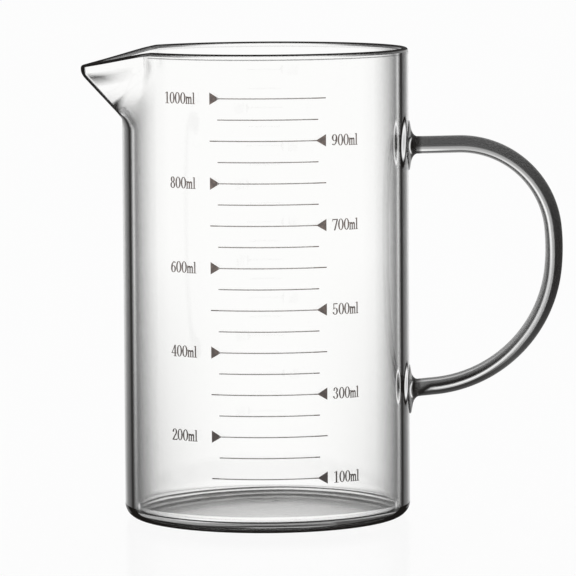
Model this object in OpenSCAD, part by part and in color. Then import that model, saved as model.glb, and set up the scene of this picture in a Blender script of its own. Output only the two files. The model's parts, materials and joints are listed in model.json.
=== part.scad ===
// Glass measuring jug with a pulled spout, a C-shaped rod handle and a printed scale.
// The foot ring stands on Z = 0 with the jug's axis on Z.
// The handle points along +X, the spout along -X, and the scale faces -Y.

/* [Body] */
// Outer diameter of the body
body_d = 99.4; // [96:0.2:120]
// Height of the rim above the table
body_h = 163; // [158:0.5:200]
// Thickness of the wall
wall = 2.6; // [1.8:0.1:3.4]

/* [Base] */
// Height of the inner floor where it meets the wall
floor_h = 4; // [2.8:0.1:5]
// How much the inner floor domes up in its middle
floor_dome = 1.4; // [0.4:0.1:2]
// Radius of the outer heel, between the wall and the foot ring
heel_r = 6; // [4:0.5:9]
// Radius inside, between the wall and the floor
floor_fillet_r = 2; // [1.2:0.1:6]
// Width of the flat foot ring that touches the table
foot_ring_w = 4; // [2:0.5:8]
// Depth of the hollow under the base, in its middle
punt_depth = 1.2; // [0.6:0.1:1.6]

/* [Spout] */
// How far the tip of the spout stands out from the wall
spout_reach = 14.1; // [8:0.1:18]
// Height of the spout, from its root on the wall to the rim
spout_depth = 23.9; // [18:0.1:30]
// How far the tip lies below the rim
spout_dip = 5.4; // [2:0.1:8]
// Height of the steep rounded face below the tip
tip_face_h = 3.2; // [2:0.1:5]
// Half of the angle that the spout takes up on the rim
spout_half_angle = 41.6; // [38:0.2:46]
// Half of the angle between the two kinks where the rim starts to fall
kink_angle = 37; // [30:0.5:38]
// Thickness of the drawn glass at the tip of the spout
lip_wall = 1.7; // [1.2:0.1:2.4]

/* [Handle] */
// Diameter of the glass rod
rod_d = 6.1; // [5:0.1:9]
// Height of the upper foot's centre
handle_top_h = 129; // [122:0.1:136]
// Straight run of the rod from the wall to its first bend
handle_top_run = 17.2; // [12:0.2:24]
// Radius of the bend at the top, along the rod's centre
top_bend_r = 32.4; // [28:0.1:36]
// Radius of the long bend that the fingers meet
side_bend_r = 71.6; // [50:0.2:90]
// Radius of the bend below the hand
low_bend_r = 45.7; // [40:0.1:52]
// Radius of the round pad that welds each rod end to the wall
weld_r = 8.8; // [7.5:0.1:11]
// Thickness of the pad
weld_pad = 0.5; // [0.3:0.1:0.9]
// Length from the wall to the neck, where the flare becomes the rod
weld_l = 2.8; // [2:0.1:5]
// Height of the flare's steep shoulder above the wall
weld_shoulder = 1.2; // [1:0.1:1.8]

/* [Scale] */
// Height of a printed line
line_h = 0.35; // [0.25:0.05:0.8]
// Thickness of the fired enamel
enamel = 0.12; // [0.08:0.01:0.3]
// Length of a half mark along the wall
half_mark_l = 34.8; // [26:0.2:40]
// Length of a full mark along the wall, with its pointer
full_mark_l = 40.4; // [32:0.2:46]
// Length of the triangular pointer
pointer_l = 3.4; // [2.4:0.1:5]
// Height of the triangular pointer
pointer_h = 4.2; // [3:0.1:6]
// Height below the rim that the scale keeps clear
headroom = 12; // [10:0.5:30]
// How far the scale's middle lies towards the handle
scale_shift = 1.1; // [-3:0.1:3]

/* [Hidden] */
// Slopes of the rod at its feet, and the angle that the long side bend turns through
top_slope = 1;
low_slope = 5.4;
side_sweep = 11.4;

// Edge of the cube that holds a litre, and the marks that divide it
litre_edge = 100;
marks_per_litre = 20;
mark_step_ml = 50;
first_mark = 2;

// Overrun of every cut
over = 1;
// Width of the seam that melts the spout into the body, its skin over the wall, and how deep its edge sinks
seam_w = 1.5;
seam_skin = 0.06;
seam_sink = 0.4;

// Sides of the rod's surface, the longest gap between its rings, and the least turn between two rings
rod_sides = 24;
ring_gap = 2.6;
angle_gap = 0.1;

// Radius that rounds the spout's ridge, and the columns and rows of its surface
ridge_r = 0.8;
spout_columns = 44;
spout_rows = 12;
lip_rows = 6;
// Powers that shape the fold beside the spout, the curve of its flanks and the fall of its rim
fold_power = 3;
flank_power = 2.5;
fall_power = 1.3;
// Share of the ridge over which its slope rounds into the tip's face
round_share = 0.11;
// Share of the columns' spacing that crowds towards the ridge
crowd_share = 0.6;

body_r = body_d / 2;
bore_r = body_r - wall;
rim_r = wall / 2;
floor_edge_r = bore_r - floor_fillet_r;
dome_r = (floor_edge_r * floor_edge_r + floor_dome * floor_dome) / (2 * floor_dome);
foot_outer_r = body_r - heel_r;
foot_inner_r = foot_outer_r - foot_ring_w;
punt_r = (foot_inner_r * foot_inner_r + punt_depth * punt_depth) / (2 * punt_depth);
$fn = 128;

// Glass that the fillet and the dome put below the flat fill level, and the height of a mark
fillet_area = (1 - PI / 4) * floor_fillet_r * floor_fillet_r;
fillet_centroid = floor_fillet_r * (10 - 3 * PI) / (12 - 3 * PI);
fillet_volume = 2 * PI * (bore_r - fillet_centroid) * fillet_area;
dome_volume = PI * floor_dome / 6 * (3 * floor_edge_r * floor_edge_r + floor_dome * floor_dome);
bore_area = PI * bore_r * bore_r;
mark_volume = litre_edge * litre_edge * litre_edge / marks_per_litre;
function mark_height(index) = floor_h + (fillet_volume + dome_volume + mark_volume * index) / bore_area;

// Marks that the wall has room for: even steps are full marks with a pointer, odd steps are half marks
litre_steps = (body_h - headroom - mark_height(0)) * bore_area / mark_volume;
marks = [for (index = [first_mark : floor(litre_steps)]) index];
function mark_name(index) = str("scale_mark_", mark_step_ml * index, "_ml");
mark_names = [for (index = marks) mark_name(index)];

// Spout, as a function of the angle from its ridge and the height
spout_root_h = body_h - spout_depth;
face_h = body_h - spout_dip - tip_face_h;
function fold_angle(z) =
    let (below = min(max((body_h - z) / spout_depth, 0), 1))
    spout_half_angle * pow(1 - pow(below, fold_power), 1 / fold_power);
// The ridge slopes straight out from its root, then rounds into the tip's face
function rounded(along) =
    let (short = 1 + round_share - along)
    abs(along - 1) < round_share ? 1 - short * short / (4 * round_share) : min(max(along, 0), 1);
function ridge_reach(z) = spout_reach * rounded((z - spout_root_h) / (face_h - spout_root_h));
// Share that is left at an angle: 1 on the ridge, 0 at the fold
function side_share(angle, fold, power) =
    fold <= 0 ? 0 :
    let (soft = ridge_r / (fold * PI / 180 * body_r))
    let (across = sqrt(pow(abs(angle) / fold, 2) + soft * soft) - soft)
    across >= 1 ? 0 : pow(1 - across, power);
function bulge(angle, z) = ridge_reach(z) * side_share(angle, fold_angle(z), flank_power);
function rim_at(angle) = body_h - spout_dip * side_share(angle, kink_angle, fall_power);
// The glass thins towards the tip, and is measured square to the sloping ridge
ridge_stretch = sqrt(1 + pow(spout_reach / (face_h - spout_root_h), 2));
function glass_at(angle, z) =
    let (drawn = bulge(angle, z) / spout_reach)
    wall * (1 - drawn) + lip_wall * ridge_stretch * drawn;
function outer_at(angle, z) = body_r + bulge(angle, z);
function inner_at(angle, z) = outer_at(angle, z) - glass_at(angle, z);

// One upright section of the spout, grown by a skin: up the outside, round the lip and down the inside
function spout_section(angle, skin) =
    let (lip = glass_at(angle, rim_at(angle)) / 2)
    let (high = rim_at(angle) - lip)
    let (low = spout_root_h - seam_w)
    let (centre = (outer_at(angle, high) + inner_at(angle, high)) / 2)
    let (half = glass_at(angle, high) / 2 + skin)
    let (heights = [for (row = [0 : spout_rows]) low + (high - low) * row / spout_rows])
    concat(
        [[body_r - seam_sink, low - seam_w]],
        [for (z = heights) [outer_at(angle, z) + skin, z]],
        [for (row = [1 : lip_rows - 1]) let (turn = 180 * row / lip_rows)
            [centre + half * cos(turn), high + (lip + skin) * sin(turn)]],
        [for (row = [spout_rows : -1 : 0]) [inner_at(angle, heights[row]) - skin, heights[row]]],
        [[bore_r + seam_sink, low - seam_w]]
    );
// The columns crowd towards the ridge, and the first and the last one sink into the wall
seam_angle = asin(seam_w / body_r);
fold_end = spout_half_angle + seam_angle;
function column_angle(column) =
    column == 0 ? -fold_end - seam_angle :
    column == spout_columns ? fold_end + seam_angle :
    let (along = 2 * (column - 1) / (spout_columns - 2) - 1)
    fold_end * along * (1 - crowd_share + crowd_share * abs(along));
function column_skin(column) = column == 0 || column == spout_columns ? -seam_sink : seam_skin;
section_rows = spout_rows + 2;
section_size = 2 * section_rows + lip_rows - 1;

// Triangles that close one section: strips across the wall, and a fan in the lip
function section_faces(at) =
    let (top = at + section_size - 1)
    concat(
        [for (row = [0 : section_rows - 2])
            each [[at + row + 1, at + row, top - row], [at + row + 1, top - row, top - row - 1]]],
        [for (row = [section_rows : section_rows + lip_rows - 2])
            [at + row + 1, at + row, at + section_rows - 1]]
    );

module spout() {
    points = [for (column = [0 : spout_columns])
        let (angle = column_angle(column))
        for (point = spout_section(angle, column_skin(column)))
            [-point[0] * cos(angle), point[0] * sin(angle), point[1]]];
    last = spout_columns * section_size;
    sides = [for (column = [0 : spout_columns - 1]) for (row = [0 : section_size - 1])
        let (here = column * section_size + row, up = column * section_size + (row + 1) % section_size)
        each [[here, up + section_size, up], [here, here + section_size, up + section_size]]];
    first_end = [for (face = section_faces(0)) [face[2], face[1], face[0]]];
    polyhedron(points, concat(sides, first_end, section_faces(last)), convexity = 6);
}

// Half section of the body's outside, with its round heel
module outer_section() {
    square([foot_outer_r, body_h - rim_r]);
    translate([0, heel_r]) square([body_r, body_h - rim_r - heel_r]);
    translate([foot_outer_r, heel_r]) circle(heel_r);
}

// Half section of the room for the liquid, above the domed floor
module room_section() {
    difference() {
        union() {
            translate([0, floor_h]) square([floor_edge_r, body_h]);
            translate([0, floor_h + floor_fillet_r]) square([bore_r, body_h]);
            translate([floor_edge_r, floor_h + floor_fillet_r]) circle(floor_fillet_r);
        }
        translate([0, floor_h + floor_dome - dome_r]) circle(dome_r, $fn = 720);
    }
}

module body_of_revolution() {
    rotate_extrude() {
        difference() {
            outer_section();
            room_section();
            translate([0, punt_depth - punt_r]) circle(punt_r, $fn = 720);
            translate([-body_d, -over]) square([body_d, body_h + 2 * over]);
        }
        translate([body_r - rim_r, body_h - rim_r]) circle(rim_r);
    }
}

// The blown body, with the sector under the spout opened and the pulled spout melted in
module vessel() {
    color("lightsteelblue") union() {
        difference() {
            body_of_revolution();
            rotate_extrude(angle = 2 * spout_half_angle, start = 180 - spout_half_angle)
                translate([bore_r - over, spout_root_h]) square([wall + 2 * over, spout_depth + over]);
        }
        spout();
    }
}

// Rod's centre line, as arcs that meet tangent to tangent, from the upper foot to the lower one
function heading(angle) = [cos(angle), 0, sin(angle)];
function right_of(angle) = [sin(angle), 0, -cos(angle)];
side_turn = side_sweep / 2;
rod_start = [body_r, 0, handle_top_h];
top_bend_start = rod_start + handle_top_run * heading(top_slope);
top_bend_centre = top_bend_start + top_bend_r * right_of(top_slope);
side_bend_start = top_bend_centre - top_bend_r * right_of(side_turn - 90);
side_bend_centre = side_bend_start + side_bend_r * right_of(side_turn - 90);
low_bend_start = side_bend_centre - side_bend_r * right_of(-90 - side_turn);
low_bend_centre = low_bend_start + low_bend_r * right_of(-90 - side_turn);
low_heading = low_slope - 180;
low_bend_end = low_bend_centre - low_bend_r * right_of(low_heading);
low_run = (low_bend_end[0] - body_r) / cos(low_slope);
rod_end = low_bend_end + low_run * heading(low_heading);

// Rings along the rod, each a point and the heading there
function bend_rings(centre, radius, from_angle, to_angle) =
    let (steps = ceil((from_angle - to_angle) * PI / 180 * radius / ring_gap))
    [for (step = [0 : steps])
        let (angle = from_angle + (to_angle - from_angle) * step / steps)
        [centre - radius * right_of(angle), angle]];
rod_rings = concat(
    [[rod_start + weld_l * heading(top_slope), top_slope]],
    bend_rings(top_bend_centre, top_bend_r, top_slope, side_turn - 90),
    [for (ring = bend_rings(side_bend_centre, side_bend_r, side_turn - 90, -90 - side_turn))
        if (abs(ring[1] + 90) < side_turn - angle_gap) ring],
    bend_rings(low_bend_centre, low_bend_r, -90 - side_turn, low_heading),
    [[rod_end - weld_l * heading(low_heading), low_heading]]
);
function ring_point(ring, side) =
    let (turn = 360 * side / rod_sides)
    ring[0] + rod_d / 2 * (cos(turn) * right_of(ring[1]) + sin(turn) * [0, 1, 0]);

// The rod, swept along its rings
module handle_rod() {
    last = len(rod_rings) - 1;
    points = [for (ring = rod_rings) for (side = [0 : rod_sides - 1]) ring_point(ring, side)];
    sides = [for (ring = [0 : last - 1]) for (side = [0 : rod_sides - 1])
        let (here = ring * rod_sides + side, next = ring * rod_sides + (side + 1) % rod_sides)
        each [[here, next, next + rod_sides], [here, next + rod_sides, here + rod_sides]]];
    ends = [
        [for (side = [rod_sides - 1 : -1 : 0]) side],
        [for (side = [0 : rod_sides - 1]) last * rod_sides + side]
    ];
    color("slategray") polyhedron(points, concat(sides, ends), convexity = 4);
}

// A foot: a round pad that follows the wall, and a hollow flare from its shoulder to the rod
module handle_foot(at, angle) {
    hollow_r = weld_l - weld_shoulder;
    wrap = body_r - sqrt(body_r * body_r - weld_r * weld_r);
    difference() {
        union() {
            intersection() {
                cylinder(r = body_r + weld_pad, h = body_h);
                translate(at) rotate([0, 90 - angle, 0])
                    translate([0, 0, -2 * wrap]) cylinder(r = weld_r, h = 2 * wrap + weld_l);
            }
            translate(at) rotate([0, 90 - angle, 0]) rotate_extrude() difference() {
                translate([0, -2 * wrap]) square([rod_d / 2 + hollow_r, weld_l + 2 * wrap]);
                translate([rod_d / 2 + hollow_r, weld_l]) circle(hollow_r, $fn = 64);
            }
        }
        cylinder(r = body_r, h = body_h);
    }
}

module upper_handle_foot() {
    color("lightslategray") handle_foot(rod_start, top_slope);
}

module lower_handle_foot() {
    color("lightslategray") handle_foot(rod_end, -low_slope);
}

// Printed marks: flat outlines cut out of the thin enamel shell on the wall
function on_wall(length) = body_r * sin(length / body_r * 180 / PI);
module mark_outline(index) {
    full = index % 2 == 0;
    points_right = index % 4 == 0;
    half_l = (full ? full_mark_l : half_mark_l) / 2;
    left = on_wall(scale_shift - half_l);
    right = on_wall(scale_shift + half_l);
    translate([left, -line_h / 2]) square([right - left, line_h]);
    if (full && points_right)
        polygon([[left, -pointer_h / 2], [left + pointer_l, 0], [left, pointer_h / 2]]);
    if (full && !points_right)
        polygon([[right, -pointer_h / 2], [right, pointer_h / 2], [right - pointer_l, 0]]);
}

module scale_mark(index) {
    color("dimgray") translate([0, 0, mark_height(index)]) intersection() {
        difference() {
            translate([0, 0, -pointer_h]) cylinder(r = body_r + enamel, h = 2 * pointer_h);
            translate([0, 0, -pointer_h - over]) cylinder(r = body_r, h = 2 * pointer_h + 2 * over);
        }
        rotate([90, 0, 0]) linear_extrude(body_d) mark_outline(index);
    }
}

vessel();
handle_rod();
upper_handle_foot();
lower_handle_foot();
for (index = marks)
    scale_mark(index);
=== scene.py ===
# Glass measuring jug with a pulled spout and a rod handle, on a pale studio floor
import json
import math
import bpy
from mathutils import Matrix, Vector

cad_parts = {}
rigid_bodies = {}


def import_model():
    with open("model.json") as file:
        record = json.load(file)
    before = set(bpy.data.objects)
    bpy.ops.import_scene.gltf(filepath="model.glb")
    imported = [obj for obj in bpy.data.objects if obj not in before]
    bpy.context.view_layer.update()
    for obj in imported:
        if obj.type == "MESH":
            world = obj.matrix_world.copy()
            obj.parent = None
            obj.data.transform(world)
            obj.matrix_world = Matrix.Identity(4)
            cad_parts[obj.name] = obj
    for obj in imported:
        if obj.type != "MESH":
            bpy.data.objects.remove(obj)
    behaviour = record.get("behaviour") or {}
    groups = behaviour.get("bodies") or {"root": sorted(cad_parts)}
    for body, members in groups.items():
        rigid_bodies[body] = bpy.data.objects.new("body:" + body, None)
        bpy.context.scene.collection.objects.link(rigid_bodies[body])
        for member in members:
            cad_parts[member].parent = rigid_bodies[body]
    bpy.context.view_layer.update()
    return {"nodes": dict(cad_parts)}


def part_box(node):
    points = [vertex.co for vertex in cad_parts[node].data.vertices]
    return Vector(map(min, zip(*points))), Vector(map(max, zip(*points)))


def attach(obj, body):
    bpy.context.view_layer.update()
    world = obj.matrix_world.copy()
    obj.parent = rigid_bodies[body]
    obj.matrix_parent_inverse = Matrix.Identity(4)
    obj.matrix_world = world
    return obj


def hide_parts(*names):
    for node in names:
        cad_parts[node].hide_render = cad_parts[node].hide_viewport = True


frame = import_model()
mm = 0.001
deg = math.pi / 180
samePlace = 0.01 * mm       # what lies this near is in the same place
mergeRange = 0.002 * mm     # points this near become one point

# the blown body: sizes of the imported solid
body = {
    "radius": 49.7 * mm,
    "wall": 2.6 * mm,
    "height": 163 * mm,
    "floorHeight": 4 * mm,
    "floorDome": 1.4 * mm,
    "heelRadius": 5 * mm,      # a little tighter than the solid's, as on the real foot
    "filletRadius": 2 * mm,
    "footRingWidth": 4 * mm,
    "puntDepth": 1.2 * mm,
    "rippleHeight": 0.09 * mm,  # faint rings that blowing left in the floor
    "rippleLength": 13 * mm,
    "rippleDrift": (1.6 * mm, 0.8 * mm),    # they wander two and five times round
    "rippleTurn": 0.7,
    "rippleFade": 3 * mm,
    "rippleSide": 0.55,     # their height at the sides, and what the back has more and the front less
    "rippleBack": 0.45,
    "columns": 384,
    "crowding": 0.55,       # how far the columns gather at the spout's ridge
    "steps": {"punt": 12, "ring": 2, "heel": 18, "wall": 10, "rim": 34, "lip": 16, "fillet": 14, "dome": 14},
    "smoothAngle": 40 * deg,
}

spout = {
    "reach": 14.1 * mm,
    "depth": 23.9 * mm,
    "dip": 5.4 * mm,
    "faceHeight": 3.2 * mm,
    "halfAngle": 41.6 * deg,
    "kinkAngle": 37 * deg,
    "lipWall": 1.7 * mm,
    "ridgeRadius": 0.8 * mm,
    "foldPower": 3,
    "flankPower": 2.5,
    "fallPower": 1.3,
    "roundShare": 0.11,
    "startBelow": 2 * mm,       # the pull starts this far under the root
    "sideRoom": 6 * deg,
    "pinchAngle": 34.5 * deg,  # where the tongs held the rim at each side
    "pinchWidth": 3 * deg,
    "pinchDrop": 5 * mm,
    "pinchHeight": 3.6 * mm,
    "pinchDepth": 0.5 * mm,
}

boreRadius = body["radius"] - body["wall"]
lipRadius = body["wall"] / 2
rootHeight = body["height"] - spout["depth"]
faceHeight = body["height"] - spout["dip"] - spout["faceHeight"]
lipStart = body["height"] - lipRadius
pullStart = rootHeight - spout["startBelow"]
lipGlass = spout["lipWall"] * math.hypot(1, spout["reach"] / (faceHeight - rootHeight))


def dropSelection():
    if bpy.context.object and bpy.context.object.mode != "OBJECT":
        bpy.ops.object.mode_set(mode="OBJECT")
    bpy.ops.object.select_all(action="DESELECT")


def applyPlace():
    bpy.ops.object.transform_apply(location=True, rotation=True, scale=True)


def closeMesh(smoothAngle):
    bpy.ops.object.mode_set(mode="EDIT")
    bpy.ops.mesh.select_all(action="SELECT")
    bpy.ops.mesh.remove_doubles(threshold=mergeRange)
    bpy.ops.mesh.normals_make_consistent(inside=False)
    bpy.ops.object.mode_set(mode="OBJECT")
    bpy.ops.object.shade_smooth_by_angle(angle=smoothAngle)


# a line of points in the XZ plane, drawn on from its last point by extruding and spinning
def startLine(name, x, z):
    dropSelection()
    bpy.ops.mesh.primitive_plane_add(size=mm, location=(x, 0, z))
    applyPlace()
    bpy.context.object.name = name
    bpy.ops.object.mode_set(mode="EDIT")
    bpy.ops.mesh.select_mode(type="VERT")
    bpy.ops.mesh.select_all(action="SELECT")
    bpy.ops.mesh.merge(type="CENTER")
    return bpy.context.object


def extrudeBy(step):
    bpy.ops.mesh.extrude_region_move(TRANSFORM_OT_translate={"value": tuple(step)})


def drawLine(dx, dz, steps=1):
    for step in range(steps):
        extrudeBy((dx / steps, 0, dz / steps))


# a positive angle turns from +X up to +Z
def drawArc(x, z, angle, steps):
    bpy.ops.mesh.spin(steps=steps, angle=angle, center=(x, 0, z), axis=(0, 1, 0))


print("body: drawing the half section and spinning it")
footOuter = body["radius"] - body["heelRadius"]
footInner = footOuter - body["footRingWidth"]
puntRadius = (footInner ** 2 + body["puntDepth"] ** 2) / (2 * body["puntDepth"])
floorEdge = boreRadius - body["filletRadius"]
filletHeight = body["floorHeight"] + body["filletRadius"]
domeRadius = (floorEdge ** 2 + body["floorDome"] ** 2) / (2 * body["floorDome"])

steps = body["steps"]
vessel = startLine("vessel_glass", 0, body["puntDepth"])
drawArc(0, body["puntDepth"] - puntRadius, -math.asin(footInner / puntRadius), steps["punt"])
drawLine(body["footRingWidth"], 0, steps["ring"])
drawArc(footOuter, body["heelRadius"], 90 * deg, steps["heel"])
drawLine(0, pullStart - body["heelRadius"], steps["wall"])
drawLine(0, lipStart - pullStart, steps["rim"])
drawArc(body["radius"] - lipRadius, lipStart, 180 * deg, steps["lip"])
drawLine(0, pullStart - lipStart, steps["rim"])
drawLine(0, filletHeight - pullStart, steps["wall"])
drawArc(floorEdge, filletHeight, -90 * deg, steps["fillet"])
domeCentre = body["floorHeight"] + body["floorDome"] - domeRadius
drawArc(0, domeCentre, math.asin(floorEdge / domeRadius), steps["dome"])
bpy.ops.mesh.select_all(action="SELECT")
bpy.ops.mesh.spin(steps=body["columns"], angle=2 * math.pi, center=(0, 0, 0), axis=(0, 0, 1))
bpy.ops.object.mode_set(mode="OBJECT")


# full inside 1 - share, with both ends of the ramp rounded over a share
def rounded(along, share):
    if along > 1 - share:
        short = max(1 + share - along, 0)
        return 1 - short * short / (4 * share)
    if along < share:
        rise = max(along + share, 0)
        return rise * rise / (4 * share)
    return along


def foldAngle(z):
    below = min(max((body["height"] - z) / spout["depth"], 0), 1)
    return spout["halfAngle"] * (1 - below ** spout["foldPower"]) ** (1 / spout["foldPower"])


def sideShare(angle, fold, power):
    if fold <= 0:
        return 0
    soft = spout["ridgeRadius"] / (fold * body["radius"])
    across = math.hypot(angle / fold, soft) - soft
    return 0 if across >= 1 else (1 - across) ** power


def pulledOut(angle, z):
    along = rounded((z - rootHeight) / (faceHeight - rootHeight), spout["roundShare"])
    return spout["reach"] * along * sideShare(angle, foldAngle(z), spout["flankPower"])


def glassAt(out):
    return body["wall"] + (lipGlass - body["wall"]) * out / spout["reach"]


def pinchedIn(angle, z):
    across = (abs(angle) - spout["pinchAngle"]) / spout["pinchWidth"]
    up = (z - body["height"] + spout["pinchDrop"]) / spout["pinchHeight"]
    return spout["pinchDepth"] * math.exp(-across * across - up * up)


def pullSpout(point):
    angle = math.atan2(point.y, -point.x)
    angle *= 1 - body["crowding"] * (1 - abs(angle) / math.pi)
    radius = math.hypot(point.x, point.y)
    z = point.z
    if z > pullStart and abs(angle) < spout["halfAngle"] + spout["sideRoom"]:
        across = (body["radius"] - radius) / body["wall"]
        rim = body["height"] - spout["dip"] * sideShare(angle, spout["kinkAngle"], spout["fallPower"])
        halfLip = glassAt(pulledOut(angle, rim)) / 2
        faceTop = rim - halfLip
        if z > lipStart:
            z, level = faceTop + (z - lipStart) / lipRadius * halfLip, faceTop
        else:
            z = pullStart + (z - pullStart) * (faceTop - pullStart) / (lipStart - pullStart)
            level = z
        out = pulledOut(angle, level)
        radius = body["radius"] + out - across * glassAt(out) - pinchedIn(angle, level)
    return Vector((-radius * math.cos(angle), radius * math.sin(angle), z))


def rippled(point):
    angle = math.atan2(point.y, point.x)
    radius = math.hypot(point.x, point.y)
    if radius >= floorEdge:
        return point.z
    twice, fiveTimes = body["rippleDrift"]
    phase = radius + twice * math.sin(2 * angle + body["rippleTurn"]) + fiveTimes * math.sin(5 * angle)
    fade = min(1, (floorEdge - radius) / body["rippleFade"])
    fade *= body["rippleSide"] + body["rippleBack"] * math.sin(angle)
    return point.z + body["rippleHeight"] * fade * math.cos(2 * math.pi * phase / body["rippleLength"])


print("body: marking the bore, the lip and the spout, and pulling it")
marks = {name: vessel.data.attributes.new(name, "FLOAT", "POINT") for name in ("bore", "lip", "pulled")}
for vertex in vessel.data.vertices:
    point = vertex.co
    radius = math.hypot(point.x, point.y)
    inside = point.z > body["floorHeight"] - samePlace and radius < body["radius"] - lipRadius
    before = pullSpout(point)
    out = math.hypot(before.x, before.y) - radius
    marks["bore"].data[vertex.index].value = 1.0 if inside else 0.0
    marks["lip"].data[vertex.index].value = max(0, (point.z - lipStart) / lipRadius)  # 1 on top of the rim
    marks["pulled"].data[vertex.index].value = min(1, max(0, out / spout["reach"]))
    if inside and point.z < filletHeight:
        point.z = rippled(point)
    vertex.co = pullSpout(point)
closeMesh(body["smoothAngle"])
print("body has", len(vessel.data.polygons), "faces")

# the solid rod of the handle and its two pressed feet
handle = {
    "rodRadius": 3.05 * mm,
    "topHeight": 129 * mm,
    "topRun": 17.2 * mm,
    "topSlope": 1 * deg,
    "topBend": 32.4 * mm,
    "sideBend": 71.6 * mm,
    "sideSweep": 11.4 * deg,
    "lowBend": 45.7 * mm,
    "lowSlope": 5.4 * deg,
    "sides": 64,
    "bendSteps": (40, 10, 50),
    "smoothAngle": 60 * deg,
    "neck": 2.8 * mm,
    "padRadius": 8.8 * mm,
    "sink": 0.3 * mm,
    "padRoom": 0.03 * mm,
    "footSteps": [(0.9, 0.355), (0.8, 0.372), (0.68, 0.402), (0.56, 0.445), (0.46, 0.495), (0.38, 0.55),
                  (0.32, 0.61), (0.27, 0.69), (0.225, 0.78), (0.18, 0.87), (0.13, 0.94), (0.065, 0.985),
                  (0, 1), (-0.107, 1)],  # height over the neck's, radius over the pad's
}


def heading(angle):
    return Vector((math.cos(angle), 0, math.sin(angle)))


def toTheRight(angle):
    return Vector((math.sin(angle), 0, -math.cos(angle)))


def bendRod(place, fromAngle, toAngle, radius, steps):
    centre = place + radius * toTheRight(fromAngle)
    bpy.ops.mesh.spin(steps=steps, angle=toAngle - fromAngle, center=centre, axis=(0, 1, 0))
    return centre - radius * toTheRight(toAngle)


def pressFoot(place, slope):
    lastHeight, lastRadius = handle["neck"], handle["rodRadius"]
    for heightShare, radiusShare in handle["footSteps"]:
        height, radius = heightShare * handle["neck"], radiusShare * handle["padRadius"]
        step = (height - lastHeight) * Vector((1, 0, math.tan(slope)))
        place = place + step
        extrudeBy(step)
        grow = radius / lastRadius
        bpy.ops.transform.resize(value=(1, grow, grow), center_override=place)
        lastHeight, lastRadius = height, radius


print("handle: bending the rod and pressing the feet")
sideTurn = handle["sideSweep"] / 2
topWeld = Vector((body["radius"], 0, handle["topHeight"]))
topNeck = topWeld + handle["neck"] * Vector((1, 0, math.tan(handle["topSlope"])))
bendStart = topWeld + handle["topRun"] * heading(handle["topSlope"])

dropSelection()
bpy.ops.mesh.primitive_circle_add(vertices=handle["sides"], radius=handle["rodRadius"], fill_type="NGON",
                                  location=topNeck, rotation=(0, 90 * deg, 0))
rod = bpy.context.object
rod.name = "handle_glass"
applyPlace()
bpy.ops.object.mode_set(mode="EDIT")
bpy.ops.mesh.select_all(action="SELECT")
extrudeBy(bendStart - topNeck)
topSteps, sideSteps, lowSteps = handle["bendSteps"]
place = bendRod(bendStart, handle["topSlope"], sideTurn - 90 * deg, handle["topBend"], topSteps)
place = bendRod(place, sideTurn - 90 * deg, -90 * deg - sideTurn, handle["sideBend"], sideSteps)
place = bendRod(place, -90 * deg - sideTurn, handle["lowSlope"] - 180 * deg, handle["lowBend"], lowSteps)
lowSlope = math.tan(handle["lowSlope"])
lowWeld = Vector((body["radius"], 0, place.z - (place.x - body["radius"]) * lowSlope))
lowNeck = lowWeld + handle["neck"] * Vector((1, 0, lowSlope))
extrudeBy(lowNeck - place)
pressFoot(lowNeck, handle["lowSlope"])
bpy.ops.mesh.select_all(action="DESELECT")
bpy.ops.object.mode_set(mode="OBJECT")
for face in rod.data.polygons:    # the rod's top end
    atNeck = abs(face.center.x - topNeck.x) < samePlace
    face.select = atNeck and face.center.z > (topWeld.z + lowWeld.z) / 2
bpy.ops.object.mode_set(mode="EDIT")
bpy.ops.mesh.select_mode(type="FACE")
pressFoot(topNeck, handle["topSlope"])
bpy.ops.object.mode_set(mode="OBJECT")
for vertex in rod.data.vertices:    # the pads follow the round wall
    if vertex.co.x < topNeck.x:
        vertex.co.x = math.sqrt(vertex.co.x ** 2 - vertex.co.y ** 2)
closeMesh(handle["smoothAngle"])
print("handle has", len(rod.data.polygons), "faces")

# the printed numerals: each sign is drawn once, in strokes measured in shares of its height
numerals = {
    "height": 3.92 * mm,
    "print": 0.12 * mm,
    "sink": 0.03 * mm,
    "leftEnd": -28.4 * deg,     # round the body from dead front
    "rightStart": 26.9 * deg,
    "thick": 0.108,
    "thin": 0.046,
    "widening": {"m": 1.05, "l": 1.05},
    "digitWidening": 1.2,
    "advance": {"m": 0.67, "l": 0.27},
    "digitAdvance": 0.583,
    "endGap": 0.03,
    "arcStep": 12,              # degrees
    "fewestSteps": 8,
}
thick, thin = numerals["thick"], numerals["thin"]

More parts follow.
